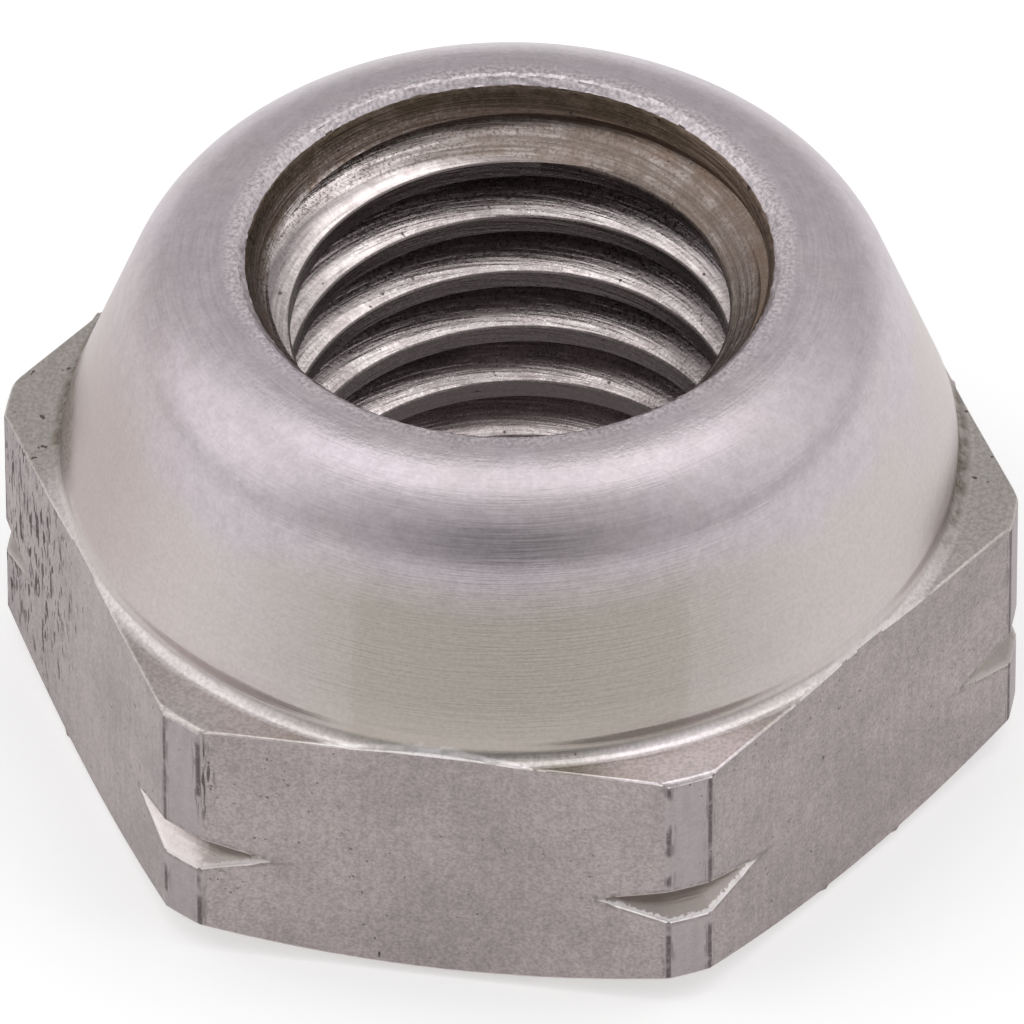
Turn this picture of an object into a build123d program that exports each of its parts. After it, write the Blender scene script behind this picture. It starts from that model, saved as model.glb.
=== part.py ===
"""Left-hand shaft nut: hexagon bar turned to a domed collar, with a grooved corner band and a tapped bore.

Millimetres. The origin is the centre of the bearing face, +Z runs up the thread's axis towards the
collar's mouth, and two of the six corners lie on the X axis.
"""
import os
from math import cos, radians, tan

from build123d import *

# Hexagon
across_flats = 11.11  # 7/16 inch bar
corner_turning = 0.15  # what the lathe takes off each sharp corner
corner_height = 3.23  # upright edge of a turned corner, from the bevel to the ledge
ledge_edge_radius = 0.09

# Underside
bearing_diameter = 10.5
bevel_angle = 21.0  # rise of the bevel outside the bearing face
underside_margin = 0.12  # how far the underside's countersink stands outside the thread

# Groove turned round the corners, the mark of a left-hand thread
groove_drop = 2.03  # from the ledge down to the groove's middle
groove_depth = 0.375
groove_angle = 66.0

# Collar
foot_margin = 0.065  # how far the upright foot stands inside the flats
foot_height = 0.27
foot_fillet = 0.2
collar_height = 3.28  # from the ledge to the top
collar_lean = 20.0  # slope of the cone, from the axis
shoulder_radius = 1.48

# Thread and mouth
thread_diameter = 6.35  # 1/4 inch, 28 turns to the inch
thread_pitch = 25.4 / 28
thread_height_share = 0.54127  # of the pitch, the basic height of a 60 degree thread
mouth_margin = 0.03  # how far the mouth's wall stands outside the thread
mouth_edge_bevel = 0.12
mouth_wall_depth = 0.366
mouth_wall_taper = 25.0  # slope of the mouth's wall, from the axis
sink_angle = 90.0  # both countersinks, across the cone

corner_radius = across_flats / 2 / cos(radians(30)) - corner_turning
foot_radius = across_flats / 2 - foot_margin
crest_radius = thread_diameter / 2 - thread_height_share * thread_pitch
bevel_rise = (corner_radius - bearing_diameter / 2) * tan(radians(bevel_angle))
ledge_level = bevel_rise + corner_height
groove_level = ledge_level - groove_drop
foot_level = ledge_level + foot_height
top_level = ledge_level + collar_height


def profile(points):
    """Flat face in the XZ plane, from (radius, height) points."""
    corners = [Vector(radius, 0, height) for radius, height in points]
    return Face(Wire.make_polygon(corners, close=True))


def rounded(section, point, radius):
    """The profile with the corner at a (radius, height) point rounded."""
    place = Vector(point[0], 0, point[1])
    corner = section.vertices().sort_by_distance(place)[0]
    return section.fillet_2d(radius, [corner])


def turned_blank():
    """Outside of the nut as the lathe leaves it, before the flats."""
    groove_half_height = groove_depth * tan(radians(groove_angle / 2))
    cone_run = (top_level - foot_level) * tan(radians(collar_lean))
    ledge_corner = (corner_radius, ledge_level)
    foot_corner = (foot_radius, ledge_level)
    shoulder_corner = (foot_radius - cone_run, top_level)
    section = profile([
        (0, 0),
        (bearing_diameter / 2, 0),
        (corner_radius, bevel_rise),
        (corner_radius, groove_level - groove_half_height),
        (corner_radius - groove_depth, groove_level),
        (corner_radius, groove_level + groove_half_height),
        ledge_corner,
        foot_corner,
        (foot_radius, foot_level),
        shoulder_corner,
        (0, top_level),
    ])
    section = rounded(section, ledge_corner, ledge_edge_radius)
    section = rounded(section, foot_corner, foot_fillet)
    section = rounded(section, shoulder_corner, shoulder_radius)
    return revolve(section, Axis.Z)


def hexagon_bar():
    """The bar's six flats, as long as the nut."""
    outline = RegularPolygon(radius=across_flats / 2, side_count=6, major_radius=False)
    return extrude(outline, amount=top_level)


def bore():
    """What is cut away inside: the underside's countersink, the bore at the thread's crests and the mouth."""
    sink_slope = tan(radians(sink_angle / 2))
    underside_radius = thread_diameter / 2 + underside_margin
    mouth_radius = thread_diameter / 2 + mouth_margin
    wall_top = top_level - mouth_edge_bevel
    wall_foot = wall_top - mouth_wall_depth
    wall_foot_radius = mouth_radius - mouth_wall_depth * tan(radians(mouth_wall_taper))
    section = profile([
        (0, 0),
        (underside_radius, 0),
        (crest_radius, (underside_radius - crest_radius) / sink_slope),
        (crest_radius, wall_foot - (wall_foot_radius - crest_radius) / sink_slope),
        (wall_foot_radius, wall_foot),
        (mouth_radius, wall_top),
        (mouth_radius + mouth_edge_bevel, top_level),
        (0, top_level),
    ])
    return revolve(section, Axis.Z)


def shaft_nut():
    """The finished nut, one solid."""
    return (turned_blank() & hexagon_bar()) - bore()


os.makedirs("parts", exist_ok=True)
export_step(shaft_nut().solid(), "parts/shaft_nut.step")
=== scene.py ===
from math import cos, hypot, pi, radians, sin, tan

import bmesh
import bpy
from mathutils import Matrix, Vector


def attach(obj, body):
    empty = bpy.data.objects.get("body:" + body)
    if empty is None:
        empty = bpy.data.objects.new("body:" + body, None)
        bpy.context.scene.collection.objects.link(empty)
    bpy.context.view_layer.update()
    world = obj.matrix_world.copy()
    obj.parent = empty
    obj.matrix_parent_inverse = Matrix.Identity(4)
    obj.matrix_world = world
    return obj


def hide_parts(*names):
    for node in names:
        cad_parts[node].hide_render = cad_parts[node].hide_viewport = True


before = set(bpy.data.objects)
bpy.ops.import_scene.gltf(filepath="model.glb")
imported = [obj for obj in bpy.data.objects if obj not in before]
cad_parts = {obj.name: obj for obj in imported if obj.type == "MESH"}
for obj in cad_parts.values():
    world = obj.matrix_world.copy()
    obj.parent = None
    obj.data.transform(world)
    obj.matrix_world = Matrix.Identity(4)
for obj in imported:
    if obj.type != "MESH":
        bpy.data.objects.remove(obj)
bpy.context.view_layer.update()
mm = 0.001
fullTurn = 2 * pi
seedSize = 0.1 * mm                  # the plane that a chain of points starts from
weldDistance = 1e-7                  # metres; points this close together are one


def clearSelection():
    if bpy.context.object and bpy.context.object.mode != "OBJECT":
        bpy.ops.object.mode_set(mode="OBJECT")
    bpy.ops.object.select_all(action="DESELECT")


def makeActive(piece):
    clearSelection()
    bpy.context.view_layer.objects.active = piece
    piece.select_set(True)


def editMode(piece):
    makeActive(piece)
    bpy.ops.object.mode_set(mode="EDIT")


def selectParts(piece, kind, test):
    # kind is VERT, EDGE or FACE, and test takes one element of the mesh
    bpy.ops.mesh.select_mode(type=kind)
    bpy.ops.mesh.select_all(action="DESELECT")
    mesh = bmesh.from_edit_mesh(piece.data)
    parts = {"VERT": mesh.verts, "EDGE": mesh.edges, "FACE": mesh.faces}[kind]
    for part in parts:
        if test(part):
            part.select_set(True)
    mesh.select_flush_mode()
    bmesh.update_edit_mesh(piece.data)


def drawChain(name, points):
    # a closed outline in the XZ plane, drawn point by point from (radius, height)
    clearSelection()
    bpy.ops.mesh.primitive_plane_add(size=seedSize, location=(0, 0, 0))
    piece = bpy.context.object
    piece.name = name
    bpy.ops.object.mode_set(mode="EDIT")
    bpy.ops.mesh.select_mode(type="VERT")
    bpy.ops.mesh.select_all(action="SELECT")
    bpy.ops.mesh.merge(type="CENTER")
    bpy.ops.transform.translate(value=(points[0][0], 0, points[0][1]))
    for old, new in zip(points, points[1:]):
        step = (new[0] - old[0], 0, new[1] - old[1])
        bpy.ops.mesh.extrude_region_move(TRANSFORM_OT_translate={"value": step})
    selectParts(piece, "VERT", lambda point: len(point.link_edges) < 2)      # the chain's two ends
    bpy.ops.mesh.edge_face_add()
    return piece


def applyModifier(piece, kind, **settings):
    makeActive(piece)
    modifier = piece.modifiers.new(kind.title(), kind)
    for setting, value in settings.items():
        setattr(modifier, setting, value)
    bpy.ops.object.modifier_apply(modifier=modifier.name)


# the nut

nut = {
    "acrossFlats": 11.11 * mm,
    "flats": 6,
    "cornerTurning": 0.15 * mm,      # what the lathe takes off each sharp corner
    "cornerHeight": 3.23 * mm,
    "bearingRadius": 5.25 * mm,
    "bevelAngle": radians(21),
    "grooveDrop": 2.03 * mm,         # from the ledge down to the groove
    "grooveDepth": 0.375 * mm,
    "grooveHalfAngle": radians(33),
    "ledgeEdge": 0.09 * mm,
    "footMargin": 0.065 * mm,        # the collar's foot stands inside the flats
    "footHeight": 0.27 * mm,
    "footCove": 0.2 * mm,
    "collarHeight": 3.28 * mm,
    "collarLean": radians(20),
    "shoulderRadius": 1.48 * mm,
    "threadRadius": 3.175 * mm,
    "crestRadius": 2.684 * mm,
    "sinkMargin": 0.12 * mm,         # the underside's countersink stands outside the thread
    "mouthRadius": 3.205 * mm,
    "mouthEdge": 0.12 * mm,
    "mouthWall": 0.366 * mm,
    "mouthTaper": radians(25),
    "turns": 360,                    # steps round the axis, and below along the outline
    "bevelSteps": 3,
    "ledgeSteps": 5,
    "coveSteps": 6,
    "coneSteps": 5,
    "shoulderSteps": 18,
    "mouthEdgeSteps": 4,
    "wallSteps": 6,
    "sinkSteps": 6,
    "cutTolerance": 1e-8,
    "sliver": 0.018 * mm,            # points closer than this would spoil the soft edges
    "sharpFrom": radians(19),        # edges that turn more than this are softened
    "edgeSoftness": 0.026 * mm,
    "edgeSteps": 2,
    "edgeProfile": 0.5,              # round
    "tipClearance": 0.08 * mm,       # a groove's tips are too thin to soften
    "tornReach": 0.03 * mm,          # past both sides of the mouth's bevel
    "tearing": 0.010 * mm,
    "tearingSeed": 4,
    "smoothUnder": radians(20),
    "normalWeight": 100,             # how much large faces count in the shading
}


def filletCorner(before, corner, after, radius, pieces):
    # points of the arc that rounds a corner of the profile
    a = (Vector(before) - Vector(corner)).normalized()
    b = (Vector(after) - Vector(corner)).normalized()
    half = a.angle(b) / 2
    middle = Vector(corner) + (a + b).normalized() * radius / sin(half)
    start = Vector(corner) + a * radius / tan(half) - middle
    end = Vector(corner) + b * radius / tan(half) - middle
    turn = start.angle_signed(end)
    arc = []
    for i in range(pieces + 1):
        spin = Matrix.Rotation(-turn * i / pieces, 2)
        arc.append(tuple(middle + spin @ start))
    return arc


def divideLine(start, end, pieces):
    return [tuple(Vector(start).lerp(Vector(end), i / pieces)) for i in range(1, pieces)]


def flatNormal(size, i):
    angle = radians(360 / size["flats"] * (i + 0.5))
    return cos(angle), sin(angle), 0


def nutLevels(size):
    # the corners' radius, and the heights of the bevel's edge, the ledge and the top
    cornerRadius = size["acrossFlats"] / 2 / cos(radians(180 / size["flats"])) - size["cornerTurning"]
    bevelRise = (cornerRadius - size["bearingRadius"]) * tan(size["bevelAngle"])
    ledge = bevelRise + size["cornerHeight"]
    return cornerRadius, bevelRise, ledge, ledge + size["collarHeight"]


def outsideProfile(size):
    # from the bearing face over the bevel, corner, ledge and collar to the mouth
    cornerRadius, bevelRise, ledge, top = nutLevels(size)
    groove = ledge - size["grooveDrop"]
    grooveHalf = size["grooveDepth"] * tan(size["grooveHalfAngle"])
    footRadius = size["acrossFlats"] / 2 - size["footMargin"]
    bearing = (size["bearingRadius"], 0)
    bevelEnd = (cornerRadius, bevelRise)
    ledgeCorner = (cornerRadius, ledge)
    footCorner = (footRadius, ledge)
    foot = (footRadius, ledge + size["footHeight"])
    shoulder = (footRadius - (top - foot[1]) * tan(size["collarLean"]), top)
    mouth = (size["mouthRadius"] + size["mouthEdge"], top)
    points = [bearing]
    points += divideLine(bearing, bevelEnd, size["bevelSteps"])
    points += [bevelEnd, (cornerRadius, groove - grooveHalf)]
    points += [(cornerRadius - size["grooveDepth"], groove), (cornerRadius, groove + grooveHalf)]
    points += filletCorner(points[-1], ledgeCorner, footCorner, size["ledgeEdge"], size["ledgeSteps"])
    points += filletCorner(ledgeCorner, footCorner, foot, size["footCove"], size["coveSteps"])
    shoulderArc = filletCorner(foot, shoulder, mouth, size["shoulderRadius"], size["shoulderSteps"])
    points += [foot]
    points += divideLine(foot, shoulderArc[0], size["coneSteps"])
    return points + shoulderArc + [mouth]


def insideProfile(size):
    # from the mouth down its bevel, wall and countersink, and through the bore to the underside
    top = nutLevels(size)[3]
    mouth = (size["mouthRadius"] + size["mouthEdge"], top)
    wallTop = (size["mouthRadius"], top - size["mouthEdge"])
    wallFoot = (wallTop[0] - size["mouthWall"] * tan(size["mouthTaper"]), wallTop[1] - size["mouthWall"])
    sinkFoot = (size["crestRadius"], wallFoot[1] - (wallFoot[0] - size["crestRadius"]))
    underRadius = size["threadRadius"] + size["sinkMargin"]
    underTop = (size["crestRadius"], underRadius - size["crestRadius"])
    points = divideLine(mouth, wallTop, size["mouthEdgeSteps"]) + [wallTop]
    points += divideLine(wallTop, wallFoot, size["wallSteps"]) + [wallFoot]
    points += divideLine(wallFoot, sinkFoot, size["sinkSteps"]) + [sinkFoot, underTop]
    return points, (underRadius, 0)


def buildNut(size):
    ledge, top = nutLevels(size)[2:]
    inside, start = insideProfile(size)
    piece = drawChain("shaftNut", [start] + outsideProfile(size) + inside)
    bpy.ops.mesh.select_all(action="SELECT")
    bpy.ops.mesh.spin(steps=size["turns"], angle=fullTurn, center=(0, 0, 0), axis=(0, 0, 1),
                      use_auto_merge=True)
    bpy.ops.mesh.select_all(action="SELECT")
    bpy.ops.mesh.remove_doubles(threshold=weldDistance)
    print("blank turned")
    for i in range(size["flats"]):
        normal = flatNormal(size, i)
        flat = Vector(normal) * size["acrossFlats"] / 2
        bpy.ops.mesh.select_all(action="SELECT")
        bpy.ops.mesh.bisect(plane_co=flat, plane_no=normal, use_fill=True, clear_outer=True,
                            threshold=size["cutTolerance"])
    bpy.ops.mesh.select_all(action="SELECT")
    bpy.ops.mesh.normals_make_consistent(inside=False)
    bpy.ops.mesh.remove_doubles(threshold=size["sliver"])
    print("flats cut")
    softenEdges(piece, size, ledge - size["grooveDrop"])
    tearMouth(piece, size, top)
    bpy.ops.object.mode_set(mode="OBJECT")
    return piece


def softenEdges(piece, size, groove):

    def needsSoftening(edge):
        if not edge.is_manifold or edge.calc_face_angle() < size["sharpFrom"]:
            return False
        middle = (edge.verts[0].co + edge.verts[1].co) / 2
        nearTip = abs(middle.z - groove) < size["tipClearance"]
        besideFlat = any(len(face.verts) > 4 for face in edge.link_faces)    # turned faces have four corners
        return not (nearTip and besideFlat)

    selectParts(piece, "EDGE", needsSoftening)
    bpy.ops.mesh.bevel(offset=size["edgeSoftness"], segments=size["edgeSteps"], profile=size["edgeProfile"],
                       affect="EDGES", clamp_overlap=False)
    print("edges softened")


def tearMouth(piece, size, top):
    # the mouth's edge is torn, so its points are moved about a little
    inner = size["mouthRadius"] - size["tornReach"]
    outer = size["mouthRadius"] + size["mouthEdge"] + size["tornReach"]

    def isTorn(point):
        away = hypot(point.co.x, point.co.y)
        return inner < away < outer and point.co.z > top - size["mouthEdge"] - size["tornReach"]

    selectParts(piece, "VERT", isTorn)
    bpy.ops.transform.vertex_random(offset=size["tearing"], seed=size["tearingSeed"])
    print("mouth edge torn")


thread = {
    "pitch": 25.4 / 28 * mm,         # 28 turns to the inch
    "rootFlat": 0.125,               # of the pitch
    "flankAngle": radians(30),
    "coreRadius": 2.56 * mm,         # inside the crests, so the coil's turns stay apart
    "phaseHeight": 0.258 * mm,       # height of a groove's middle on the X axis
    "turnsBelow": 2,
    "turns": 10,
    "steps": 240,
}


def buildTap(size, radius):
    # a left-hand coil of the thread's groove, longer than the bore at both ends
    rootHalf = size["rootFlat"] * size["pitch"] / 2
    coreHalf = rootHalf + (radius - size["coreRadius"]) * tan(size["flankAngle"])
    middle = size["phaseHeight"] - size["turnsBelow"] * size["pitch"]
    section = [(size["coreRadius"], middle - coreHalf), (radius, middle - rootHalf),
               (radius, middle + rootHalf), (size["coreRadius"], middle + coreHalf)]
    piece = drawChain("tap", section)
    bpy.ops.object.mode_set(mode="OBJECT")
    applyModifier(piece, "SCREW", axis="Z", angle=-fullTurn, screw_offset=size["pitch"],
                  iterations=size["turns"], steps=size["steps"], render_steps=size["steps"],
                  use_merge_vertices=False)
    editMode(piece)
    selectParts(piece, "EDGE", lambda edge: edge.is_boundary)
    bpy.ops.mesh.edge_face_add()
    bpy.ops.mesh.select_all(action="SELECT")
    bpy.ops.mesh.normals_make_consistent(inside=False)
    bpy.ops.object.mode_set(mode="OBJECT")
    return piece


def cutThread(piece, size, radius):
    tap = buildTap(size, radius)
    applyModifier(piece, "BOOLEAN", operation="DIFFERENCE", solver="EXACT", object=tap)
    bpy.data.objects.remove(tap)
    editMode(piece)
    bpy.ops.mesh.select_all(action="SELECT")
    bpy.ops.mesh.remove_doubles(threshold=weldDistance)
    bpy.ops.mesh.normals_make_consistent(inside=False)
    bpy.ops.object.mode_set(mode="OBJECT")
    print("thread cut:", len(piece.data.vertices), "points,", len(piece.data.polygons), "faces")


shaftNut = buildNut(nut)
cutThread(shaftNut, thread, nut["threadRadius"])
makeActive(shaftNut)
bpy.ops.object.shade_smooth_by_angle(angle=nut["smoothUnder"])
applyModifier(shaftNut, "WEIGHTED_NORMAL", mode="FACE_AREA", weight=nut["normalWeight"], keep_sharp=True)

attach(shaftNut, "root")
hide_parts("shaft_nut")

# node helpers

noiseSpread = (0.3, 0.7)             # most of a noise lies between these


def newGroup(name, inputs, outputs):
    group = bpy.data.node_groups.new(name, "ShaderNodeTree")
    for socketName, kind, value in inputs:
        socket = group.interface.new_socket(socketName, in_out="INPUT", socket_type="NodeSocket" + kind)
        if value is not None:
            socket.default_value = value
    for socketName, kind in outputs:
        group.interface.new_socket(socketName, in_out="OUTPUT", socket_type="NodeSocket" + kind)
    return group, group.nodes.new("NodeGroupInput").outputs, group.nodes.new("NodeGroupOutput").inputs


def fill(tree, socket, value):
    if isinstance(value, bpy.types.NodeSocket):
        tree.links.new(value, socket)
    else:
        socket.default_value = value


def place(tree, kind, sockets=None, **settings):
    # adds a node, sets it up, and links or fills its sockets
    made = tree.nodes.new(kind)
    for setting, value in settings.items():
        setattr(made, setting, value)
    for socket, value in (sockets or {}).items():
        fill(tree, made.inputs[socket], value)
    return made


def useGroup(tree, group, sockets):
    return place(tree, "ShaderNodeGroup", sockets, node_tree=group).outputs


def calc(tree, operation, first, second=None, third=None, clamp=False):
    sockets = {i: value for i, value in enumerate((first, second, third)) if value is not None}
    return place(tree, "ShaderNodeMath", sockets, operation=operation, use_clamp=clamp).outputs[0]


def product(tree, *values):
    result = values[0]
    for value in values[1:]:
        result = calc(tree, "MULTIPLY", result, value)
    return result


def greatest(tree, *values):
    result = values[0]
    for value in values[1:]:
        result = calc(tree, "MAXIMUM", result, value)
    return result


def vectorCalc(tree, operation, first, second=None):
    sockets = {0: first}
    if second is not None:
        sockets["Scale" if operation == "SCALE" else 1] = second
    made = place(tree, "ShaderNodeVectorMath", sockets, operation=operation)
    return made.outputs["Value" if operation in ("DOT_PRODUCT", "LENGTH") else "Vector"]


def ramp(tree, value, low, high, toLow=0.0, toHigh=1.0):
    # a soft step: low gives toLow, high gives toHigh, and low may be the larger one
    sockets = {"Value": value, "From Min": low, "From Max": high, "To Min": toLow, "To Max": toHigh}
    return place(tree, "ShaderNodeMapRange", sockets, interpolation_type="SMOOTHSTEP").outputs[0]


def vary(tree, uneven, least, most):
    # a noise turned into an amount
    return ramp(tree, uneven, *noiseSpread, least, most)


def roughen(tree, value, uneven, amount):
    # a level or distance made uneven by a noise
    return calc(tree, "MULTIPLY_ADD", calc(tree, "SUBTRACT", uneven, 0.5), amount, value)


def band(tree, value, low, high, soft):
    # 1 between low and high, with soft ends
    rising = ramp(tree, value, low - soft, low + soft)
    return product(tree, rising, ramp(tree, value, high + soft, high - soft))


def noise(tree, vector, perMillimetre, detail=2.0, roughness=0.6):
    sockets = {"Vector": vector, "Scale": perMillimetre, "Detail": detail, "Roughness": roughness}
    return place(tree, "ShaderNodeTexNoise", sockets).outputs["Fac"]


def stretch(tree, around, scale):
    # the place in millimetres, scaled so that a noise comes out long and thin
    return place(tree, "ShaderNodeMapping", {"Vector": around["Position"], "Scale": scale}).outputs[0]


def blendColors(tree, factor, first, second, mode="MIX"):
    made = place(tree, "ShaderNodeMix", data_type="RGBA", blend_type=mode)
    for socket, value in ((made.inputs[0], factor), (made.inputs[6], first), (made.inputs[7], second)):
        fill(tree, socket, value)
    return made.outputs[2]


def shadeColor(tree, color, shade):
    grey = place(tree, "ShaderNodeCombineColor", {0: shade, 1: shade, 2: shade}).outputs[0]
    return blendColors(tree, 1.0, color, grey, "MULTIPLY")


# effects that more than one steel uses

effectSize = {
    "lineNoise": (1.0, 2.0, 0.65),   # scale, detail and roughness
    "pitNoise": (1.0, 0.5),          # detail and roughness
    "pitLevel": (-0.2, 0.80),        # where a pit starts, by the share that is pitted
    "pitSoftness": 0.03,
    "patchNoise": (3.0, 0.6),
    "placeNoise": (2.2, 3.0, 0.65),
}


def makeAxisGroup():
    # where a point lies round the nut's axis, in millimetres
    group, given, result = newGroup("aroundAxis", [("Object", "Vector", None)],
                                    [("Position", "Vector"), ("Direction", "Vector"),
                                     ("Radius", "Float"), ("Height", "Float")])
    position = vectorCalc(group, "SCALE", given["Object"], 1 / mm)
    level = vectorCalc(group, "MULTIPLY", position, (1, 1, 0))
    group.links.new(position, result["Position"])
    group.links.new(vectorCalc(group, "NORMALIZE", level), result["Direction"])
    group.links.new(vectorCalc(group, "LENGTH", level), result["Radius"])
    group.links.new(place(group, "ShaderNodeSeparateXYZ", {0: position}).outputs["Z"], result["Height"])
    return group


def makeEdgeGroup(size):
    # how deep a point lies under the flats and turned corners, and how far from the lines where they meet
    group, given, result = newGroup("hexagonEdges",
                                    [("Position", "Vector", None), ("Radius", "Float", 0.0),
                                     ("Height", "Float", 0.0)],
                                    [("Depth", "Float"), ("Corner Line", "Float"), ("Groove", "Float")])
    levels = nutLevels(size)
    cornerRadius, ledge = levels[0], levels[2]
    farthest = None
    for i in range(size["flats"] // 2):                       # opposite flats share a normal
        away = vectorCalc(group, "DOT_PRODUCT", given["Position"], flatNormal(size, i))
        away = calc(group, "ABSOLUTE", away)
        farthest = away if farthest is None else calc(group, "MAXIMUM", farthest, away)
    underFlat = calc(group, "SUBTRACT", size["acrossFlats"] / 2 / mm, farthest)
    underCorner = calc(group, "SUBTRACT", cornerRadius / mm, given["Radius"])
    group.links.new(calc(group, "MINIMUM", underFlat, underCorner), result["Depth"])
    group.links.new(calc(group, "MAXIMUM", underFlat, underCorner), result["Corner Line"])
    offset = calc(group, "SUBTRACT", given["Height"], (ledge - size["grooveDrop"]) / mm)
    inward = calc(group, "SUBTRACT", given["Radius"], (cornerRadius - size["grooveDepth"]) / mm)
    opening = calc(group, "MULTIPLY", inward, tan(size["grooveHalfAngle"]))
    outside = calc(group, "SUBTRACT", calc(group, "ABSOLUTE", offset), opening)
    group.links.new(outside, result["Groove"])                # 0 on the groove's sides, more outside it
    return group


def makeTurningGroup(size):
    # fine lines that run round the axis, as the lathe leaves them
    group, given, result = newGroup("turningLines",
                                    [("Direction", "Vector", None), ("Along", "Float", 0.0),
                                     ("Spacing", "Float", 20.0), ("Breaks", "Float", 3.0)],
                                    [("Lines", "Float")])
    stretched = vectorCalc(group, "SCALE", given["Direction"], given["Breaks"])
    spaced = product(group, given["Along"], given["Spacing"])
    across = place(group, "ShaderNodeCombineXYZ", {2: spaced}).outputs[0]
    lines = noise(group, vectorCalc(group, "ADD", stretched, across), *size["lineNoise"])
    group.links.new(lines, result["Lines"])
    return group


def makePitGroup(size):
    # small pits, where a fine noise is highest
    group, given, result = newGroup("smallPits",
                                    [("Position", "Vector", None), ("Per Millimetre", "Float", 6.0),
                                     ("Share", "Float", 0.3)],
                                    [("Pits", "Float")])
    uneven = noise(group, given["Position"], given["Per Millimetre"], *size["pitNoise"])
    level = calc(group, "MULTIPLY_ADD", given["Share"], *size["pitLevel"])
    above = calc(group, "SUBTRACT", uneven, level)
    group.links.new(ramp(group, above, 0.0, size["pitSoftness"]), result["Pits"])
    return group


def makePatchGroup(size):
    # soft-edged patches, for stains and uneven finish
    group, given, result = newGroup("softPatches",
                                    [("Position", "Vector", None), ("Per Millimetre", "Float", 1.0),
                                     ("Level", "Float", 0.5), ("Softness", "Float", 0.1)],
                                    [("Patches", "Float")])
    uneven = noise(group, given["Position"], given["Per Millimetre"], *size["patchNoise"])
    low = calc(group, "SUBTRACT", given["Level"], given["Softness"])
    high = calc(group, "ADD", given["Level"], given["Softness"])
    group.links.new(ramp(group, uneven, low, high), result["Patches"])
    return group


def makePlaceGroup(size):
    # one worn or stained place: 1 at its middle, 0 beyond its reach, with an uneven edge
    group, given, result = newGroup("wornPlace",
                                    [("Position", "Vector", None), ("Middle", "Vector", None),
                                     ("Reach", "Vector", (1, 1, 1)), ("Unevenness", "Float", 0.5),
                                     ("Softness", "Float", 0.55)],
                                    [("Place", "Float")])
    apart = vectorCalc(group, "SUBTRACT", given["Position"], given["Middle"])
    away = vectorCalc(group, "LENGTH", vectorCalc(group, "DIVIDE", apart, given["Reach"]))
    away = roughen(group, away, noise(group, given["Position"], *size["placeNoise"]), given["Unevenness"])
    group.links.new(ramp(group, away, 1.0, calc(group, "SUBTRACT", 1.0, given["Softness"])), result["Place"])
    return group


axisGroup = makeAxisGroup()
edgeGroup = makeEdgeGroup(nut)
turningGroup = makeTurningGroup(effectSize)
pitGroup = makePitGroup(effectSize)
patchGroup = makePatchGroup(effectSize)
placeGroup = makePlaceGroup(effectSize)


def newSteel(name, size):
    material = bpy.data.materials.new(name)
    material.use_nodes = True
    tree = material.node_tree
    shader = tree.nodes["Principled BSDF"]
    shader.inputs["Metallic"].default_value = 1.0
    shader.inputs["Anisotropic"].default_value = size["anisotropy"]
    shader.inputs["Anisotropic Rotation"].default_value = size["brushedTurn"]
    tangent = place(tree, "ShaderNodeTangent", direction_type="RADIAL", axis="Z")
    tree.links.new(tangent.outputs[0], shader.inputs["Tangent"])
    coordinates = place(tree, "ShaderNodeTexCoord")
    around = useGroup(tree, axisGroup, {"Object": coordinates.outputs["Object"]})
    return material, tree, shader.inputs, around


def finishSteel(tree, shader, color, roughness, relief, size):
    tree.links.new(color, shader["Base Color"])
    tree.links.new(roughness, shader["Roughness"])
    bump = place(tree, "ShaderNodeBump",
                 {"Height": relief, "Distance": size["reliefDepth"], "Strength": size["reliefStrength"]})
    tree.links.new(bump.outputs[0], shader["Normal"])


def edges(tree, around):
    return useGroup(tree, edgeGroup,
                    {"Position": around["Position"], "Radius": around["Radius"], "Height": around["Height"]})


def turningLines(tree, around, along, spacing, breaks):
    return useGroup(tree, turningGroup, {"Direction": around["Direction"], "Along": along,
                                         "Spacing": spacing, "Breaks": breaks})[0]


def smallPits(tree, position, perMillimetre, share):
    return useGroup(tree, pitGroup, {"Position": position, "Per Millimetre": perMillimetre,
                                     "Share": share})[0]


def patches(tree, around, perMillimetre, level, softness):
    return useGroup(tree, patchGroup, {"Position": around["Position"], "Per Millimetre": perMillimetre,
                                       "Level": level, "Softness": softness})[0]


def wornPlace(tree, around, middle, reach, unevenness, softness):
    return useGroup(tree, placeGroup, {"Position": around["Position"], "Middle": middle, "Reach": reach,
                                       "Unevenness": unevenness, "Softness": softness})[0]


def findSide(tree, around, side, turn):
    # more towards one side of the nut
    return ramp(tree, vectorCalc(tree, "DOT_PRODUCT", around["Direction"], side), *turn)


# The steels' dictionaries are in millimetres, apart from the depth of the relief.
# A place is its middle, its reach, its unevenness and its softness.
# A noise is its scale per millimetre, its detail and its roughness, and patches are scale, level, softness.
# A soft step is where it starts and ends, and then what it gives there where that isn't 0 and 1.
# A shade is the least and the most that a noise gives.

# turned steel: collar, ledge, corner groove and underside

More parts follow.
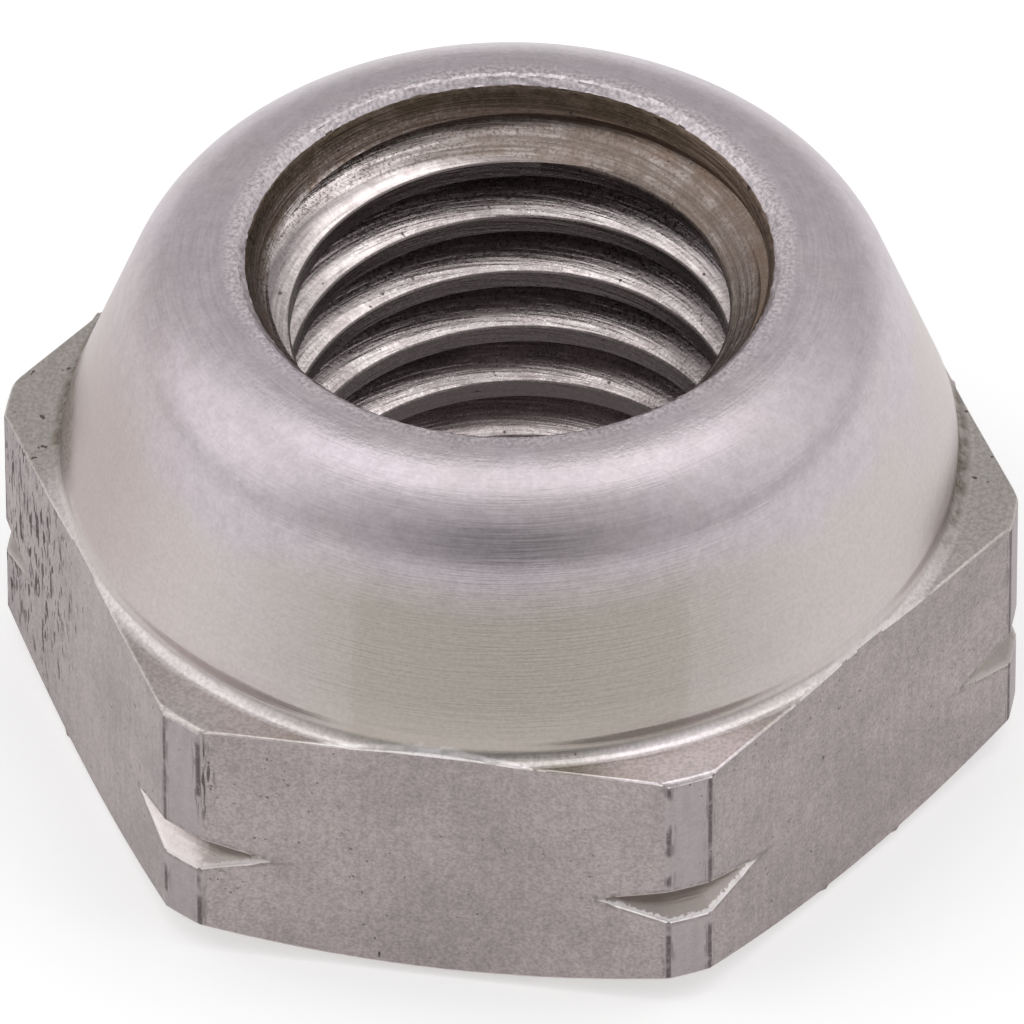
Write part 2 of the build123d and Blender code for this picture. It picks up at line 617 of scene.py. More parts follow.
turnedSize = {
    "warm": (0.575, 0.519, 0.507, 1),            # the cone
    "lilac": (0.575, 0.514, 0.550, 1),           # the shoulder
    "darkReflection": (0.445, 0.402, 0.360, 1),            # a painted dark reflection on the cone's front
    "rosy": (0.45, 0.375, 0.368, 1),             # the cone's left side
    "faced": (0.75, 0.675, 0.69, 1),             # one ledge is brighter than the rest
    "olive": (0.465, 0.425, 0.395, 1),           # the ledges right and left are duller
    "burrAndHighlight": (0.90, 0.85, 0.855, 1),              # burrs, and a painted highlight on the cove's floor
    "lip": (0.69, 0.63, 0.645, 1),               # the torn edge of the mouth
    "groove": (0.385, 0.335, 0.31, 1),           # the groove's dull sides
    "brightSide": (0.69, 0.62, 0.61, 1),         # and its lower side at one corner
    "stain": (0.15, 0.118, 0.082, 1),
    "pit": (0.08, 0.065, 0.055, 1),
    "anisotropy": 0.6,
    "brushedTurn": 0.0,
    "roughness": (0.29, 0.41),
    "dirtRoughness": 0.3,
    "burrRoughness": 0.12,
    "reliefDepth": 0.004 * mm,
    "reliefStrength": 0.5,
    "grainRelief": (0.6, 1.9),                   # below the lip and on it
    "lines": (28.0, 5.0),                        # spacing and breaks
    "grain": (19.0, 2.0),
    "mottle": (5.0, 2.0, 0.7),
    "lineShade": (0.945, 1.025),
    "grainShade": (-0.05, 0.045),
    "shoulderShade": (-0.05, 0.05),
    "ledgeShade": (0.34, 0.64, -0.09, 0.07),

    "shoulderFoot": (5.1, 5.75),                 # where the cone's warm tone turns lilac
    "tintPatches": (0.55, 0.5, 0.16),
    "tintDrift": 0.7,
    "reflectionTop": (6.0, 5.3),
    "reflectionPlace": ((0.95, -4.95, 4.7), (2.4, 3.2, 5.0), 0.12, 0.2),
    "reflectionShare": 0.95,
    "reflectionHazePlace": ((0.95, -4.95, 4.7), (4.2, 5.0, 6.0), 0.1, 0.6),
    "reflectionHazeShare": 0.7,
    "coneFoot": (3.8, 4.0),
    "rosyPlace": ((-5.2, -1.7, 4.6), (3.4, 3.4, 3.2), 0.25, 0.8),
    "rosyShare": 0.85,

    "ledgeLevel": (3.75, 3.66),
    "facedPlace": ((3.1, -5.3, 3.62), (1.5, 1.3, 0.5), 0.3, 0.55),
    "leftLedge": ((-5.8, 0.3, 3.62), (1.3, 2.4, 0.5), 0.3, 0.55),
    "rightLedge": ((5.9, 1.0, 3.62), (1.4, 2.6, 0.5), 0.3, 0.55),
    "oliveShare": 0.8,
    "coveRadius": (5.52, 5.68, 0.02),
    "coveLevel": (3.76, 3.70),
    "coveHighlight": (0.2, 0.35),

    "grooveEdge": (0.04, 0.02),
    "grooveTop": (2.4, 2.3),
    "grooveShare": 0.85,
    "lowerSide": (1.60, 1.57),
    "brightPlace": ((-3.1, -5.3, 1.45), (1.3, 1.1, 0.9), 0.2, 0.55),
    "brightEnd": (-2.72, -3.05),                 # the bright side's ragged right end
    "brightRaggedness": 0.8,
    "brightGrain": (0.28, 0.5, 0.62, 0.95),

    "dirtLevel": (3.5, 3.92, 0.1),
    "dirtRadius": (5.44, 5.62, 0.06),
    "dirtAmount": (0.8, 0.05),                   # at the end ledges, and everywhere
    "dirtMottle": (0.35, 0.6, 0.35, 1.0),
    "dirtGrain": (0.35, 0.6, 0.6, 1.0),
    "leftDirt": ((-5.3, -0.6, 3.95), (0.6, 1.7, 0.55), 0.5, 0.6),
    "leftDirtFoot": (3.63, 3.7),
    "leftDirtGrain": (0.3, 0.65, 0.3, 0.75),
    "pitsPerMillimetre": 9.0,
    "pitShare": (0.3, 0.1),                      # at the end ledges, and everywhere
    "pitDarkness": 0.8,

    "burrDepth": (0.062, 0.04),
    "burrRaggedness": 0.06,
    "frontCut": ((-0.2, -5.5, 3.66), (1.7, 0.6, 0.5), 0.2, 0.3),      # the flats that cut the foot left burrs
    "rightCut": ((4.8, -2.8, 3.66), (0.9, 0.9, 0.5), 0.2, 0.55),
    "rightCutShare": 0.5,
    "footBurrLevel": (3.6, 3.9, 0.03),
    "footBurrRadius": (5.80, 5.68),
    "footBurrMottle": (0.3, 0.6, 0.4, 0.95),
    "lineDepth": (0.058, 0.03),                  # the groove's burr is a thin line
    "lineRaggedness": 0.12,
    "lineMottle": (0.3, 0.55, 0.55, 0.95),
    "dullRight": ((6.1, -0.6, 1.6), (1.1, 1.4, 1.2), 0.2, 0.55),
    "dullLeft": ((-6.1, -0.5, 1.6), (1.0, 1.6, 1.2), 0.2, 0.55),
    "dullLoss": 0.8,
    "brightCorner": ((-3.1, -5.3, 1.45), (1.6, 1.2, 0.9), 0.2, 0.55),
    "brightLoss": -0.6,

    "mouthLevel": (6.78, 6.83),
    "mouthRing": (3.66, 3.50),
    "ringRaggedness": 0.2,
    "tornSide": (-0.17, 0.985, 0),               # the side where the mouth's edge is torn most
    "tornTurn": (-0.75, 0.1, 0.15, 1.0),
    "tornGrain": (0.3, 0.62, 0.35, 1.0),
    "lipShare": 0.8,
    "lipShade": (-0.2, 0.16),
}


def paintCone(tree, around, onShoulder, size):
    # warm below and lilac above, with a painted dark reflection in front and a rosy left side
    height = around["Height"]
    drift = calc(tree, "SUBTRACT", patches(tree, around, *size["tintPatches"]), 0.5)
    tint = calc(tree, "MULTIPLY_ADD", drift, size["tintDrift"], onShoulder, clamp=True)
    color = blendColors(tree, tint, size["warm"], size["lilac"])
    # a dark reflection of what stands in front, painted onto the cone, with a softer painted haze round it
    onCone = ramp(tree, height, *size["reflectionTop"])
    darkReflection = product(tree, wornPlace(tree, around, *size["reflectionPlace"]), onCone, size["reflectionShare"])
    reflectionHaze = product(tree, wornPlace(tree, around, *size["reflectionHazePlace"]), onCone, size["reflectionHazeShare"])
    color = blendColors(tree, greatest(tree, reflectionHaze, darkReflection), color, size["darkReflection"])
    rosy = product(tree, wornPlace(tree, around, *size["rosyPlace"]), ramp(tree, height, *size["coneFoot"]))
    return blendColors(tree, product(tree, rosy, size["rosyShare"]), color, size["rosy"])


def paintLedges(tree, around, color, onLedge, ends, size):
    faced = product(tree, wornPlace(tree, around, *size["facedPlace"]), onLedge)
    color = blendColors(tree, faced, color, size["faced"])
    return blendColors(tree, product(tree, ends, onLedge, size["oliveShare"]), color, size["olive"])


def findDirt(tree, around, ends, grain, mottle, size):
    # dirt in the corner of the collar's foot, darkest on the left
    height = around["Height"]
    nearCove = product(tree, band(tree, height, *size["dirtLevel"]),
                       band(tree, around["Radius"], *size["dirtRadius"]))
    amount = calc(tree, "MULTIPLY_ADD", ends, *size["dirtAmount"])
    dirt = product(tree, nearCove, amount, ramp(tree, mottle, *size["dirtMottle"]),
                   ramp(tree, grain, *size["dirtGrain"]))
    left = product(tree, wornPlace(tree, around, *size["leftDirt"]),
                   ramp(tree, height, *size["leftDirtFoot"]), ramp(tree, grain, *size["leftDirtGrain"]))
    return greatest(tree, dirt, left)


def findBurrs(tree, around, edge, lowerSide, grain, mottle, size):
    # bright burrs where the flats cut the collar's foot and the groove
    depth = roughen(tree, edge["Depth"], mottle, size["burrRaggedness"])
    rightCut = product(tree, wornPlace(tree, around, *size["rightCut"]), size["rightCutShare"])
    cuts = greatest(tree, wornPlace(tree, around, *size["frontCut"]), rightCut)
    footBurr = product(tree, ramp(tree, depth, *size["burrDepth"]),
                       band(tree, around["Height"], *size["footBurrLevel"]),
                       ramp(tree, around["Radius"], *size["footBurrRadius"]), cuts,
                       ramp(tree, mottle, *size["footBurrMottle"]))
    line = ramp(tree, roughen(tree, depth, grain, size["lineRaggedness"]), *size["lineDepth"])
    line = product(tree, lowerSide, line, ramp(tree, mottle, *size["lineMottle"]))
    dull = greatest(tree, wornPlace(tree, around, *size["dullRight"]),
                    wornPlace(tree, around, *size["dullLeft"]))
    notDull = calc(tree, "SUBTRACT", 1.0, product(tree, dull, size["dullLoss"]))
    bright = wornPlace(tree, around, *size["brightCorner"])
    notBright = calc(tree, "MULTIPLY_ADD", bright, size["brightLoss"], 1.0)
    return greatest(tree, footBurr, product(tree, line, notDull, notBright))


def makeTurnedSteel(size):
    material, tree, shader, around = newSteel("turnedSteel", size)
    edge = edges(tree, around)
    height, radius = around["Height"], around["Radius"]
    fine = turningLines(tree, around, calc(tree, "SUBTRACT", height, radius), *size["lines"])
    grain = noise(tree, around["Position"], *size["grain"])
    mottle = noise(tree, around["Position"], *size["mottle"])
    onShoulder = ramp(tree, height, *size["shoulderFoot"])
    onLedge = ramp(tree, height, *size["ledgeLevel"])
    ends = greatest(tree, wornPlace(tree, around, *size["leftLedge"]),
                    wornPlace(tree, around, *size["rightLedge"]))
    color = paintCone(tree, around, onShoulder, size)
    color = paintLedges(tree, around, color, onLedge, ends, size)
    shade = calc(tree, "ADD", vary(tree, fine, *size["lineShade"]), vary(tree, grain, *size["grainShade"]))
    shade = calc(tree, "ADD", shade, product(tree, onShoulder, vary(tree, mottle, *size["shoulderShade"])))
    shade = calc(tree, "ADD", shade, product(tree, onLedge, ramp(tree, grain, *size["ledgeShade"])))
    color = shadeColor(tree, color, shade)
    # a painted highlight along the cove's floor, away from the end ledges
    coveHighlightMask = product(tree, band(tree, radius, *size["coveRadius"]), ramp(tree, height, *size["coveLevel"]),
                   calc(tree, "SUBTRACT", 1.0, ends))
    color = blendColors(tree, product(tree, coveHighlightMask, vary(tree, grain, *size["coveHighlight"])), color, size["burrAndHighlight"])

    # the groove is dull, then dirt and pits, and the groove's bright lower side at one corner
    inGroove = product(tree, ramp(tree, edge["Groove"], *size["grooveEdge"]),
                       ramp(tree, height, *size["grooveTop"]))
    color = blendColors(tree, product(tree, inGroove, size["grooveShare"]), color, size["groove"])
    lowerSide = product(tree, inGroove, ramp(tree, height, *size["lowerSide"]))
    dirt = findDirt(tree, around, ends, grain, mottle, size)
    color = blendColors(tree, dirt, color, size["stain"])
    share = calc(tree, "MULTIPLY_ADD", ends, *size["pitShare"])
    pits = product(tree, smallPits(tree, around["Position"], size["pitsPerMillimetre"], share), onLedge)
    color = blendColors(tree, product(tree, pits, size["pitDarkness"]), color, size["pit"])
    across = vectorCalc(tree, "DOT_PRODUCT", around["Position"], (1, 0, 0))
    brightEnd = ramp(tree, roughen(tree, across, mottle, size["brightRaggedness"]), *size["brightEnd"])
    bright = product(tree, lowerSide, wornPlace(tree, around, *size["brightPlace"]), brightEnd,
                     ramp(tree, grain, *size["brightGrain"]))
    color = blendColors(tree, bright, color, size["brightSide"])

    # the torn lip of the mouth, and the burrs
    away = calc(tree, "MULTIPLY_ADD", mottle, size["ringRaggedness"], radius)
    ring = product(tree, ramp(tree, height, *size["mouthLevel"]), ramp(tree, away, *size["mouthRing"]))
    side = findSide(tree, around, size["tornSide"], size["tornTurn"])
    torn = product(tree, ring, side, ramp(tree, grain, *size["tornGrain"]))
    color = blendColors(tree, product(tree, torn, size["lipShare"]), color, size["lip"])
    lipShade = calc(tree, "MULTIPLY_ADD", ring, vary(tree, grain, *size["lipShade"]), 1.0)
    color = shadeColor(tree, color, lipShade)
    burr = findBurrs(tree, around, edge, lowerSide, grain, mottle, size)
    color = blendColors(tree, burr, color, size["burrAndHighlight"])

    dirtier = product(tree, greatest(tree, dirt, pits), size["dirtRoughness"])
    rough = calc(tree, "ADD", vary(tree, fine, *size["roughness"]), dirtier)
    rough = calc(tree, "MULTIPLY_ADD", greatest(tree, burr, ring), size["burrRoughness"], rough)
    coarseness = ramp(tree, height, *size["mouthLevel"], *size["grainRelief"])
    finishSteel(tree, shader, color, rough, calc(tree, "MULTIPLY_ADD", grain, coarseness, fine), size)
    return material


# drawn steel: flats and turned corners

drawnSize = {
    "light": (0.428, 0.372, 0.369, 1),
    "dull": (0.368, 0.319, 0.321, 1),
    "corner": (0.405, 0.357, 0.362, 1),          # the turned corners are smoother
    "pit": (0.05, 0.04, 0.04, 1),
    "scale": (0.09, 0.072, 0.072, 1),            # dark remains along the corners' edges
    "burrAndHighlight": turnedSize["burrAndHighlight"],
    "anisotropy": 0.3,
    "brushedTurn": 0.25,
    "roughness": (0.42, 0.58),
    "pitRoughness": 0.2,
    "reliefDepth": 0.008 * mm,
    "reliefStrength": 0.8,
    "relief": (0.9, 0.4),                        # of the grain and of the streaks
    "streaks": (9, 9, 1.1),                      # how a noise is stretched into them
    "streakNoise": (1.0, 2.0),
    "grain": (24.0, 2.0, 0.7),
    "mottle": (7.0, 2.0, 0.7),
    "tonePatches": (0.6, 0.5, 0.15),
    "cornerFrom": (6.235, 6.25),
    "streakShade": (0.97, 1.05),
    "grainShade": (-0.24, 0.17),
    "mottleShade": (-0.06, 0.06),
    "cornerLoss": -0.5,                          # the shades are fainter on the corners

    "pitted": ((-5.75, -1.1, 2.3), (2.0, 2.5, 3.0), 0.6, 0.7),        # where the left flat is pitted most
    "tall": (1.55, 1.55, 0.42),
    "longPitsPerMillimetre": 5.5,
    "longPitShare": (0.95, 0.02),                # where it is pitted most, and everywhere
    "longPitGrain": (0.3, 0.5, 0.5, 1.0),
    "tears": (15, 15, 3.2),
    "tearNoise": (1.0, 2.0),
    "tearStep": (0.555, 0.62),
    "tearPlace": (0.25, 0.8),
    "tearShare": 0.75,
    "dotsPerMillimetre": 13.0,
    "dotPatches": (0.8, 0.5, 0.1),
    "dotAmount": (0.4, 0.04),                    # in the patches, and everywhere
    "dotShare": 0.6,
    "pitDarkness": 0.85,

    "scored": ((-2.82, -5.5, 2.85), (0.17, 0.6, 0.9), 0.3, 0.55),     # dark score marks beside one corner
    "scratches": (30, 30, 3.0),
    "scratchNoise": (1.0, 1.0),
    "scratchStep": (0.50, 0.60),
    "lengths": (1, 1, 1.6),
    "lengthNoise": (1.3, 2.0),
    "lengthStep": (0.40, 0.52),
    "cornerLine": (0.022, 0.008),
    "cornerLineGrain": (0.3, 0.5, 0.55, 1.0),
    "cornerMarks": (0.06, 0.015),
    "cornerMarkShare": 0.55,
    "grooveLine": (0.10, 0.02),
    "grooveTop": (2.5, 2.3),
    "grooveMottle": (0.42, 0.55),
    "grooveLineShare": 0.5,
    "scaleDarkness": 0.85,

    "frontCut": turnedSize["frontCut"],
    "burrLevel": (3.615, 3.64),
    "burrRadius": (5.76, 5.66),
    "burrMottle": (0.3, 0.42),
    "burrGrain": (0.3, 0.5, 0.5, 1.0),
}


def findPits(tree, around, grain, size):
    # long pits crowd on one flat, and fine dots lie in patches
    crowded = wornPlace(tree, around, *size["pitted"])
    share = calc(tree, "MULTIPLY_ADD", crowded, *size["longPitShare"])
    longPits = smallPits(tree, stretch(tree, around, size["tall"]), size["longPitsPerMillimetre"], share)
    longPits = product(tree, longPits, ramp(tree, grain, *size["longPitGrain"]))
    tears = noise(tree, stretch(tree, around, size["tears"]), *size["tearNoise"])
    tears = product(tree, ramp(tree, tears, *size["tearStep"]), ramp(tree, crowded, *size["tearPlace"]),
                    size["tearShare"])
    dotAmount = calc(tree, "MULTIPLY_ADD", patches(tree, around, *size["dotPatches"]), *size["dotAmount"])
    dots = smallPits(tree, around["Position"], size["dotsPerMillimetre"], dotAmount)
    return greatest(tree, longPits, tears, product(tree, dots, size["dotShare"]))


def findScale(tree, around, edge, grain, mottle, size):
    # score marks, and dark lines and marks along the corners and the groove
    broken = noise(tree, stretch(tree, around, size["scratches"]), *size["scratchNoise"])
    broken = ramp(tree, broken, *size["scratchStep"])
    lengths = noise(tree, stretch(tree, around, size["lengths"]), *size["lengthNoise"])
    lengths = ramp(tree, lengths, *size["lengthStep"])
    scored = product(tree, wornPlace(tree, around, *size["scored"]), broken)
    lines = product(tree, ramp(tree, edge["Corner Line"], *size["cornerLine"]),
                    ramp(tree, grain, *size["cornerLineGrain"]), lengths)
    marks = product(tree, ramp(tree, edge["Corner Line"], *size["cornerMarks"]), broken, lengths,
                    size["cornerMarkShare"])
    groove = product(tree, ramp(tree, edge["Groove"], *size["grooveLine"]),
                     ramp(tree, around["Height"], *size["grooveTop"]),
                     ramp(tree, mottle, *size["grooveMottle"]), size["grooveLineShare"])
    return greatest(tree, scored, lines, marks, groove)


def makeDrawnSteel(size):
    material, tree, shader, around = newSteel("drawnSteel", size)
    edge = edges(tree, around)
    streaks = noise(tree, stretch(tree, around, size["streaks"]), *size["streakNoise"])
    grain = noise(tree, around["Position"], *size["grain"])
    mottle = noise(tree, around["Position"], *size["mottle"])
    onCorner = ramp(tree, around["Radius"], *size["cornerFrom"])
    color = blendColors(tree, patches(tree, around, *size["tonePatches"]), size["light"], size["dull"])
    color = blendColors(tree, onCorner, color, size["corner"])
    uneven = calc(tree, "ADD", vary(tree, grain, *size["grainShade"]),
                  vary(tree, mottle, *size["mottleShade"]))
    uneven = product(tree, uneven, calc(tree, "MULTIPLY_ADD", onCorner, size["cornerLoss"], 1.0))
    color = shadeColor(tree, color, calc(tree, "ADD", vary(tree, streaks, *size["streakShade"]), uneven))
    scale = findScale(tree, around, edge, grain, mottle, size)
    color = blendColors(tree, product(tree, scale, size["scaleDarkness"]), color, size["scale"])
    pits = findPits(tree, around, grain, size)
    color = blendColors(tree, product(tree, pits, size["pitDarkness"]), color, size["pit"])

    # the thin burr along the top edge, where the collar's foot is cut
    burr = product(tree, ramp(tree, around["Height"], *size["burrLevel"]),
                   ramp(tree, around["Radius"], *size["burrRadius"]), ramp(tree, mottle, *size["burrMottle"]),
                   ramp(tree, grain, *size["burrGrain"]), wornPlace(tree, around, *size["frontCut"]))
    color = blendColors(tree, burr, color, size["burrAndHighlight"])
    rough = calc(tree, "MULTIPLY_ADD", pits, size["pitRoughness"], vary(tree, grain, *size["roughness"]))
    grainRelief, streakRelief = size["relief"]
    relief = calc(tree, "MULTIPLY_ADD", grain, grainRelief, product(tree, streaks, streakRelief))
    finishSteel(tree, shader, color, rough, relief, size)
    return material


# bore steel: thread, countersinks and mouth wall

boreSize = {
    "bright": (0.83, 0.755, 0.745, 1),
    "dull": (0.68, 0.60, 0.595, 1),
    # painted shade on the crest flats, for the dark bore that they reflect
    "crestShade": (0.135, 0.112, 0.112, 1),
    # painted shade deep in the thread, towards the roots
    "root": (0.34, 0.293, 0.30, 1),
    "tan": (0.245, 0.19, 0.158, 1),
    "brown": (0.25, 0.178, 0.135, 1),
    # the countersink's speckles, and the painted shadow under the mouth's rim
    "speckleAndShadow": (0.105, 0.078, 0.055, 1),
    "pit": (0.05, 0.04, 0.038, 1),
    "anisotropy": 0.5,
    "brushedTurn": 0.0,
    "roughness": (0.22, 0.40),
    "stainRoughness": 0.22,
    "reliefDepth": 0.011 * mm,
    "reliefStrength": 0.6,
    "relief": (0.7, 0.8),                        # of the grain and of the coarse lines
    "outward": 0.5,                              # of the radius, so lines also cross what lies level
    "fineLines": (26.0, 1.8),                    # spacing and breaks
    "coarseLines": (12.0, 2.6),
    "longLines": (13.0, 0.9),
    "grain": (20.0, 2.0, 0.65),
    "mottle": (3.5, 2.0),
    "toneMottle": (0.4, 0.6),
    "fineShade": (0.82, 1.12),
    "grainShade": (-0.09, 0.07),
    "coarseShade": (0.35, 0.65, -0.14, 0.14),
    "longShade": (0.38, 0.6, -0.32, 0.12),
    "sinkShade": -0.2,

    "crestEdge": (2.72, 2.70),                   # the crests' flats, out from the axis
    "rootEdge": (2.78, 2.95),                    # and the way down to the roots
    "threadEnd": (6.08, 6.00),
    "sinkStart": (6.00, 6.08),
    "speckleNoise": (25.0, 2.0, 0.7),
    "speckleStep": (0.50, 0.62),
    "speckleShare": 0.7,
    "stainSide": (0.64, 0.77, 0),                # the stained side of the mouth
    "stainTurn": (0.0, 0.8),
    "rustPatches": (1.8, 0.48, 0.16),
    "rustAmount": (0.72, 1.0),
    "rustShare": 0.85,
    "stainFoot": (6.28, 6.48),
    "stainRaggedness": 0.35,
    "stainGrain": (0.3, 0.6, 0.6, 1.0),
    "stainShare": 0.85,
    "wallShadow": (6.54, 6.66),                  # the top of the mouth's wall is darkest
    "shadowRaggedness": 0.15,
    "shadowRise": 0.05,                          # lower on the stained side
    "shadowMottle": (0.3, 0.55, 0.6, 1.0),
    "shadowGrain": (0.62, 0.5, 0.55, 1.0),
    "shadowShare": 0.92,
    "cleanSide": (0.97, 0.25, 0),                # where the wall is tan right up to the edge
    "cleanTurn": (0.6, 0.92),
    "cleanLoss": -0.75,
    "pitsPerMillimetre": 8.0,
    "pitMottle": (0.45, 0.6, 0.05, 0.45),
    "rootLoss": -0.8,                            # few pits at the roots
    "pitDarkness": 0.85,
}


def paintThread(tree, around, root, inThread, lines, inSink, grain, mottle, size):
    # bright flanks with lathe lines, painted shade deep towards the roots and on the crest flats, and long
    # rings on the countersink
    fine, coarse, long = lines
    color = blendColors(tree, ramp(tree, mottle, *size["toneMottle"]), size["bright"], size["dull"])
    # painted shade towards the thread's roots
    color = blendColors(tree, root, color, size["root"])
    shade = calc(tree, "ADD", vary(tree, fine, *size["fineShade"]), vary(tree, grain, *size["grainShade"]))
    shade = calc(tree, "ADD", shade, ramp(tree, coarse, *size["coarseShade"]))
    shade = calc(tree, "MULTIPLY_ADD", inSink, size["sinkShade"], shade)
    rings = product(tree, inSink, ramp(tree, long, *size["longShade"]))
    color = shadeColor(tree, color, calc(tree, "ADD", shade, rings))
    # painted shade on the crest flats
    shadedCrest = product(tree, ramp(tree, around["Radius"], *size["crestEdge"]), inThread)
    return blendColors(tree, shadedCrest, color, size["crestShade"])


def findWallShadow(tree, around, side, grain, mottle, size):
    # painted shadow under the mouth's rim, lower on the stained side and fainter on the clean side
    level = roughen(tree, around["Height"], grain, size["shadowRaggedness"])
    level = calc(tree, "MULTIPLY_ADD", side, size["shadowRise"], level)
    cleaner = findSide(tree, around, size["cleanSide"], size["cleanTurn"])
    notClean = calc(tree, "MULTIPLY_ADD", cleaner, size["cleanLoss"], 1.0)
    return product(tree, ramp(tree, level, *size["wallShadow"]), notClean,
                   ramp(tree, mottle, *size["shadowMottle"]), ramp(tree, grain, *size["shadowGrain"]),
                   size["shadowShare"])


def makeBoreSteel(size):
    material, tree, shader, around = newSteel("boreSteel", size)
    height, radius = around["Height"], around["Radius"]
    along = calc(tree, "MULTIPLY_ADD", radius, size["outward"], height)
    fine, coarse, long = [turningLines(tree, around, along, *size[kind])
                          for kind in ("fineLines", "coarseLines", "longLines")]
    grain = noise(tree, around["Position"], *size["grain"])
    mottle = noise(tree, around["Position"], *size["mottle"])
    inThread = ramp(tree, height, *size["threadEnd"])
    inSink = ramp(tree, height, *size["sinkStart"])
    # towards the roots: painted shade there, and fewer pits
    root = product(tree, ramp(tree, radius, *size["rootEdge"]), inThread)
    color = paintThread(tree, around, root, inThread, (fine, coarse, long), inSink, grain, mottle, size)

    # the countersink is speckled and rusty on one side, the wall above it is brown, and a painted shadow
    # darkens the wall's top under the rim
    speckle = ramp(tree, noise(tree, around["Position"], *size["speckleNoise"]), *size["speckleStep"])
    color = blendColors(tree, product(tree, speckle, inSink, size["speckleShare"]), color, size["speckleAndShadow"])
    side = findSide(tree, around, size["stainSide"], size["stainTurn"])
    uneven = ramp(tree, patches(tree, around, *size["rustPatches"]), 0.0, 1.0, *size["rustAmount"])
    rust = product(tree, inSink, side, uneven)
    color = blendColors(tree, product(tree, rust, size["rustShare"]), color, size["tan"])
    level = roughen(tree, height, mottle, size["stainRaggedness"])
    stain = product(tree, ramp(tree, level, *size["stainFoot"]), ramp(tree, grain, *size["stainGrain"]))
    color = blendColors(tree, product(tree, stain, size["stainShare"]), color, size["brown"])
    color = blendColors(tree, findWallShadow(tree, around, side, grain, mottle, size), color, size["speckleAndShadow"])
    share = ramp(tree, mottle, *size["pitMottle"])
    pits = smallPits(tree, around["Position"], size["pitsPerMillimetre"], share)
    pits = product(tree, pits, calc(tree, "MULTIPLY_ADD", root, size["rootLoss"], 1.0))
    color = blendColors(tree, product(tree, pits, size["pitDarkness"]), color, size["pit"])
    stained = greatest(tree, stain, rust)
    rough = calc(tree, "MULTIPLY_ADD", stained, size["stainRoughness"], vary(tree, grain, *size["roughness"]))
    grainRelief, coarseRelief = size["relief"]
    relief = calc(tree, "ADD", fine, product(tree, coarse, coarseRelief))
    finishSteel(tree, shader, color, rough, calc(tree, "MULTIPLY_ADD", grain, grainRelief, relief), size)
    return material


steelPlaces = {
    "upright": 0.25,                 # a drawn face's normal rises less than this
    "aboveLedge": 0.06 * mm,
    "outsideFrom": 5.4 * mm,         # and it lies farther from the axis than this
    "outsideMouth": 0.1 * mm,
    "underTop": 0.1 * mm,
    "overUnderside": 0.01 * mm,
}


def assignFaces(piece, material, test):
    piece.data.materials.append(material)
    piece.active_material_index = len(piece.data.materials) - 1
    editMode(piece)
    selectParts(piece, "FACE", test)
    bpy.ops.object.material_slot_assign()
    bpy.ops.object.mode_set(mode="OBJECT")


def placeSteels(piece, size, places):
    ledge, top = nutLevels(size)[2:]

    def isDrawn(face):
        middle = face.calc_center_median()
        isUpright = abs(face.normal.z) < places["upright"]
        isOutside = hypot(middle.x, middle.y) > places["outsideFrom"]
        return isUpright and isOutside and middle.z < ledge + places["aboveLedge"]

    def isBore(face):
        middle = face.calc_center_median()
        isInside = hypot(middle.x, middle.y) < size["mouthRadius"] + places["outsideMouth"]
        return isInside and places["overUnderside"] < middle.z < top - places["underTop"]

    assignFaces(piece, makeTurnedSteel(turnedSize), lambda face: True)
    assignFaces(piece, makeDrawnSteel(drawnSize), isDrawn)
    assignFaces(piece, makeBoreSteel(boreSize), isBore)
    print("steels placed")


placeSteels(shaftNut, nut, steelPlaces)

# floor, light and camera

stage = {
    "azimuth": radians(9.772),
    "elevation": radians(42.239),
    "distance": 312.5 * mm,
    "lens": 897,                     # millimetres, on a sensor 36 wide
    "sensorWidth": 36,
    "nearest": 10 * mm,
    "aimRight": 0.0208 * mm,
    "aimDown": 0.7096 * mm,
    "roll": radians(-0.1332),
    "floorSide": 1200 * mm,
    "floorGap": 0.01 * mm,           # keeps the floor clear of the bearing face
    "floorColor": (0.72, 0.72, 0.72, 1),
    "floorRoughness": 0.9,
    "floorShine": 0.1,
    "floorGlow": 0.43,
    "cardSide": (0.152, -0.878, 0.454),
    "cardDistance": 420 * mm,
    "cardRadius": 165 * mm,
    "cardCorners": 48,
    "cardColor": (0.41, 0.41, 0.415, 1),
    "cardRoughness": 0.9,
    "roomColor": (0.60, 0.60, 0.60, 1),
}

# azimuth and elevation in degrees, distance, sides and radiance
lamps = {
    "lampTopLeft": (193, 71, 150 * mm, (85 * mm, 80 * mm), 1.08),
    "lampTopRight": (12, 70, 150 * mm, (85 * mm, 80 * mm), 1.15),
    "lampLeft": (190, 30, 150 * mm, (140 * mm, 120 * mm), 0.75),
    "lampRight": (5, 34, 150 * mm, (140 * mm, 120 * mm), 0.5),
}


def addFloor(size):
    clearSelection()
    bpy.ops.mesh.primitive_plane_add(size=size["floorSide"], location=(0, 0, -size["floorGap"]))
    floor = bpy.context.object
    floor.name = "floor"
    paint = bpy.data.materials.new("floorPaint")
    paint.use_nodes = True
    tree = paint.node_tree
    shader = tree.nodes["Principled BSDF"].inputs
    shader["Base Color"].default_value = size["floorColor"]
    shader["Roughness"].default_value = size["floorRoughness"]
    shader["Specular IOR Level"].default_value = size["floorShine"]
    shader["Emission Color"].default_value = (1, 1, 1, 1)
    rays = place(tree, "ShaderNodeLightPath").outputs
    seen = greatest(tree, rays["Is Camera Ray"], rays["Is Glossy Ray"], rays["Is Transmission Ray"])
    tree.links.new(product(tree, seen, size["floorGlow"]), shader["Emission Strength"])
    fromBelow = place(tree, "ShaderNodeNewGeometry").outputs["Backfacing"]
    tree.links.new(calc(tree, "SUBTRACT", 1.0, fromBelow), shader["Alpha"])     # so the underside can be seen
    floor.data.materials.append(paint)


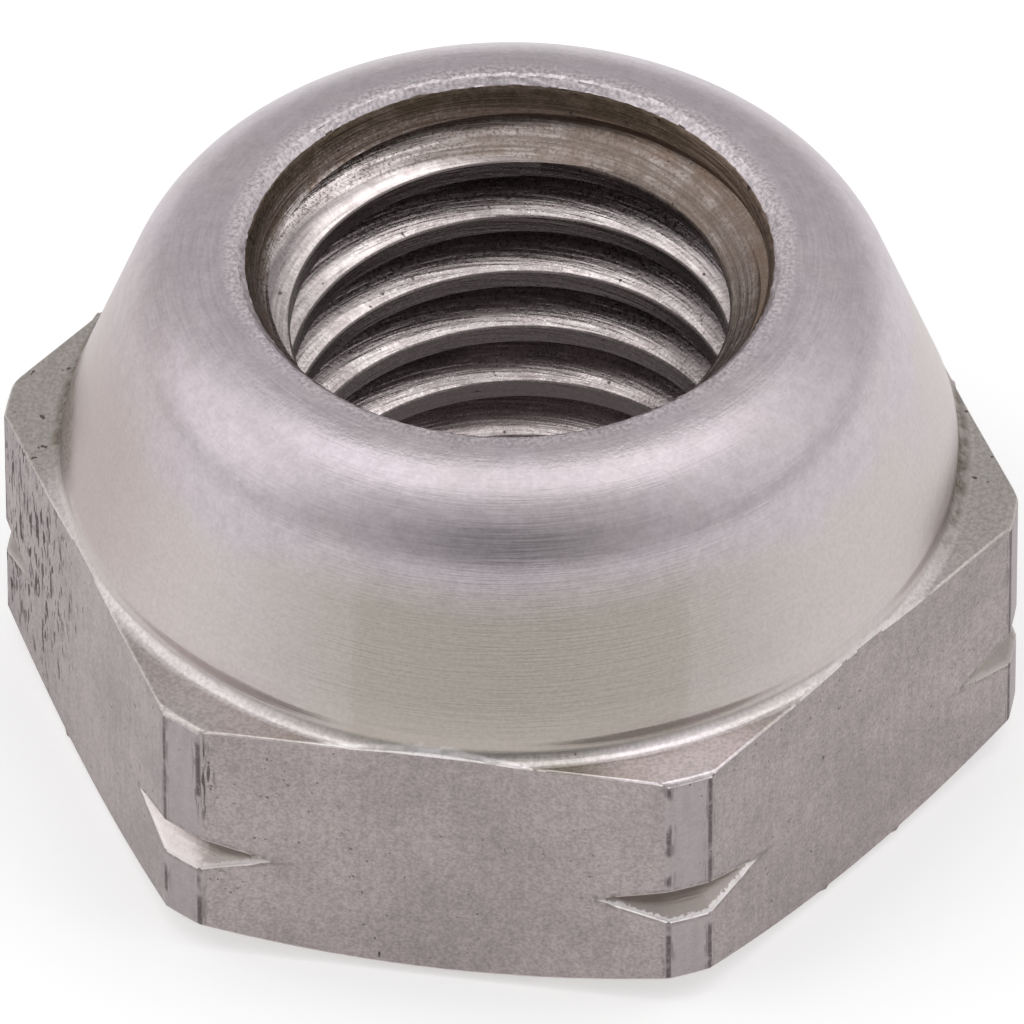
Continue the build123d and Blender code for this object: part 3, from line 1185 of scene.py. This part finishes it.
def addCamera(size, ledge):
    azimuth, elevation = size["azimuth"], size["elevation"]
    toCamera = Vector((sin(azimuth) * cos(elevation), -cos(azimuth) * cos(elevation), sin(elevation)))
    toRight = Vector((cos(azimuth), sin(azimuth), 0))
    toUp = toCamera.cross(toRight)
    aim = Vector((0, 0, ledge)) + toRight * size["aimRight"] - toUp * size["aimDown"]
    turn = Matrix((toRight, toUp, toCamera)).transposed() @ Matrix.Rotation(size["roll"], 3, "Z")
    bpy.ops.object.camera_add(location=aim + toCamera * size["distance"], rotation=turn.to_euler())
    camera = bpy.context.object
    camera.data.lens = size["lens"]
    camera.data.sensor_width = size["sensorWidth"]
    camera.data.clip_start = size["nearest"]
    bpy.context.scene.camera = camera
    bpy.context.scene.view_settings.view_transform = "Standard"


def addLamp(name, azimuth, elevation, distance, sides, radiance):
    # a soft rectangle that faces the nut
    azimuth, elevation = radians(azimuth), radians(elevation)
    direction = Vector((cos(azimuth) * cos(elevation), sin(azimuth) * cos(elevation), sin(elevation)))
    turn = direction.to_track_quat("Z", "Y").to_euler()
    bpy.ops.object.light_add(type="AREA", location=direction * distance, rotation=turn)
    lamp = bpy.context.object
    lamp.name = name
    lamp.data.shape = "RECTANGLE"
    lamp.data.size, lamp.data.size_y = sides
    lamp.data.energy = radiance * pi * sides[0] * sides[1]


def addCard(size):
    # a grey card behind the camera, for the collar's dark reflection
    side = Vector(size["cardSide"]).normalized()
    turn = side.to_track_quat("Z", "Y").to_euler()
    bpy.ops.mesh.primitive_circle_add(vertices=size["cardCorners"], radius=size["cardRadius"],
                                      fill_type="NGON", location=side * size["cardDistance"], rotation=turn)
    card = bpy.context.object
    card.name = "greyCard"
    card.visible_camera = False
    paint = bpy.data.materials.new("cardPaint")
    paint.use_nodes = True
    shader = paint.node_tree.nodes["Principled BSDF"].inputs
    shader["Base Color"].default_value = size["cardColor"]
    shader["Roughness"].default_value = size["cardRoughness"]
    card.data.materials.append(paint)


def addRoom(size):
    room = bpy.data.worlds.new("paleRoom")
    bpy.context.scene.world = room
    room.use_nodes = True
    room.node_tree.nodes["Background"].inputs["Color"].default_value = size["roomColor"]


addFloor(stage)
addCamera(stage, nutLevels(nut)[2])
for lampName, settings in lamps.items():
    addLamp(lampName, *settings)
addCard(stage)
addRoom(stage)
print("stage ready")
